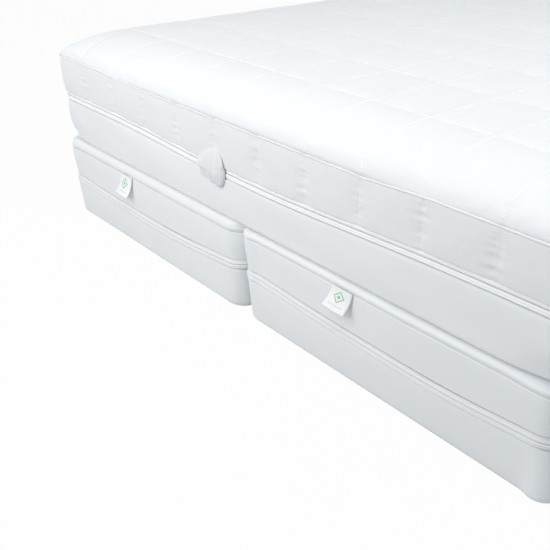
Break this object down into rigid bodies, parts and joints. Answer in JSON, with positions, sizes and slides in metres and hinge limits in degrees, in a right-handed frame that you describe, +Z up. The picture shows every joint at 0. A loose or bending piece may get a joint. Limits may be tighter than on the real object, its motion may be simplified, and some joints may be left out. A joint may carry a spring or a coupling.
{
  "type": "mattress encasement",
  "caption": "Quilted zip-round mattress encasement on its mattress, with a hooded zip slider, standing on a split foundation in smooth zipped covers.",
  "frame": {"origin": "centre of the set's footprint, on the floor under the two foundations", "axes": "+Z up, +Y along the bed towards the head, -Y towards the foot where the zip's hood is, +X to the right seen from the foot"},
  "size_m": [1.534, 2.0474, 0.4883],
  "materials": {
    "quilted_knit": "quilted white knit",
    "smooth_knit": "smooth white laminated knit",
    "zip_tape": "woven tape",
    "zip_coil": "polyester coil",
    "zip_metal": "plated metal",
    "label_satin": "woven satin",
    "elastic": "round elastic",
    "foam": null,
    "pine": "planed softwood",
    "fibreboard": "hardboard"
  },
  "bodies": {
    "left_foundation": {"left_top_panel": "smooth_knit", "left_top_seam": "smooth_knit", "left_upper_border": "smooth_knit", "left_zip_upper_tape": "zip_tape", "left_zip_coil": "zip_coil", "left_zip_lower_tape": "zip_tape", "left_zip_end_stop": "zip_metal", "left_lower_border": "smooth_knit", "left_bottom_panel": "smooth_knit", "left_label": "label_satin", "left_foam_pad": "foam", "left_deck_board": "fibreboard", "left_side_rail_1": "pine", "left_side_rail_2": "pine", "left_foot_rail": "pine", "left_head_rail": "pine", "left_slat_1": "pine", "left_slat_2": "pine", "left_slat_3": "pine"},
    "left_slider": {"left_zip_slider": "zip_metal"},
    "left_pull": {"left_zip_pull": "zip_metal"},
    "right_foundation": {"right_top_panel": "smooth_knit", "right_top_seam": "smooth_knit", "right_upper_border": "smooth_knit", "right_zip_upper_tape": "zip_tape", "right_zip_coil": "zip_coil", "right_zip_lower_tape": "zip_tape", "right_zip_end_stop": "zip_metal", "right_lower_border": "smooth_knit", "right_bottom_panel": "smooth_knit", "right_label": "label_satin", "right_foam_pad": "foam", "right_deck_board": "fibreboard", "right_side_rail_1": "pine", "right_side_rail_2": "pine", "right_foot_rail": "pine", "right_head_rail": "pine", "right_slat_1": "pine", "right_slat_2": "pine", "right_slat_3": "pine"},
    "right_slider": {"right_zip_slider": "zip_metal"},
    "right_pull": {"right_zip_pull": "zip_metal"},
    "mattress": {"quilted_top": "quilted_knit", "edge_seam": "quilted_knit", "quilted_border": "quilted_knit", "zip_upper_tape": "zip_tape", "zip_coil": "zip_coil", "zip_lower_tape": "zip_tape", "zip_end_stop": "zip_metal", "lower_border": "smooth_knit", "bottom_panel": "smooth_knit", "ticking_border": "smooth_knit", "comfort_foam": "foam", "transition_foam": "foam", "support_core": "foam"},
    "mattress_slider": {"zip_slider": "zip_metal"},
    "mattress_pull": {"zip_pull": "zip_metal"},
    "hood": {"zip_hood": "quilted_knit", "hood_elastic": "elastic"}
  },
  "joints": [
    {"name": "foundations_apart", "type": "slide", "parent": "left_foundation", "child": "right_foundation", "axis": [1, 0, 0], "range_m": [0, 0.3]},
    {"name": "mattress_lift", "type": "slide", "parent": "left_foundation", "child": "mattress", "axis": [0, 0, 1], "range_m": [0, 0.45]},
    {"name": "mattress_zip", "type": "slide", "parent": "mattress", "child": "mattress_slider", "axis": [1, 0, 0], "range_m": [0, 0.4]},
    {"name": "mattress_pull_swing", "type": "hinge", "parent": "mattress_slider", "child": "mattress_pull", "pos_m": [-0.0763, -1.005, 0.31105], "axis": [0, 1, 0], "range_deg": [-90, 50]},
    {"name": "hood_lift", "type": "hinge", "parent": "mattress", "child": "hood", "pos_m": [-0.08, -1.01535, 0.3569], "axis": [-1, 0, 0], "range_deg": [0, 100]},
    {"name": "left_zip", "type": "slide", "parent": "left_foundation", "child": "left_slider", "axis": [1, 0, 0], "range_m": [0, 0.27]},
    {"name": "left_pull_swing", "type": "hinge", "parent": "left_slider", "child": "left_pull", "pos_m": [-0.50245, 1.001, 0.1], "axis": [0, 1, 0], "range_deg": [-50, 90]},
    {"name": "right_zip", "type": "slide", "parent": "right_foundation", "child": "right_slider", "axis": [1, 0, 0], "range_m": [0, 0.27]},
    {"name": "right_pull_swing", "type": "hinge", "parent": "right_slider", "child": "right_pull", "pos_m": [0.25505, 1.001, 0.1], "axis": [0, 1, 0], "range_deg": [-50, 90]}
  ]
}
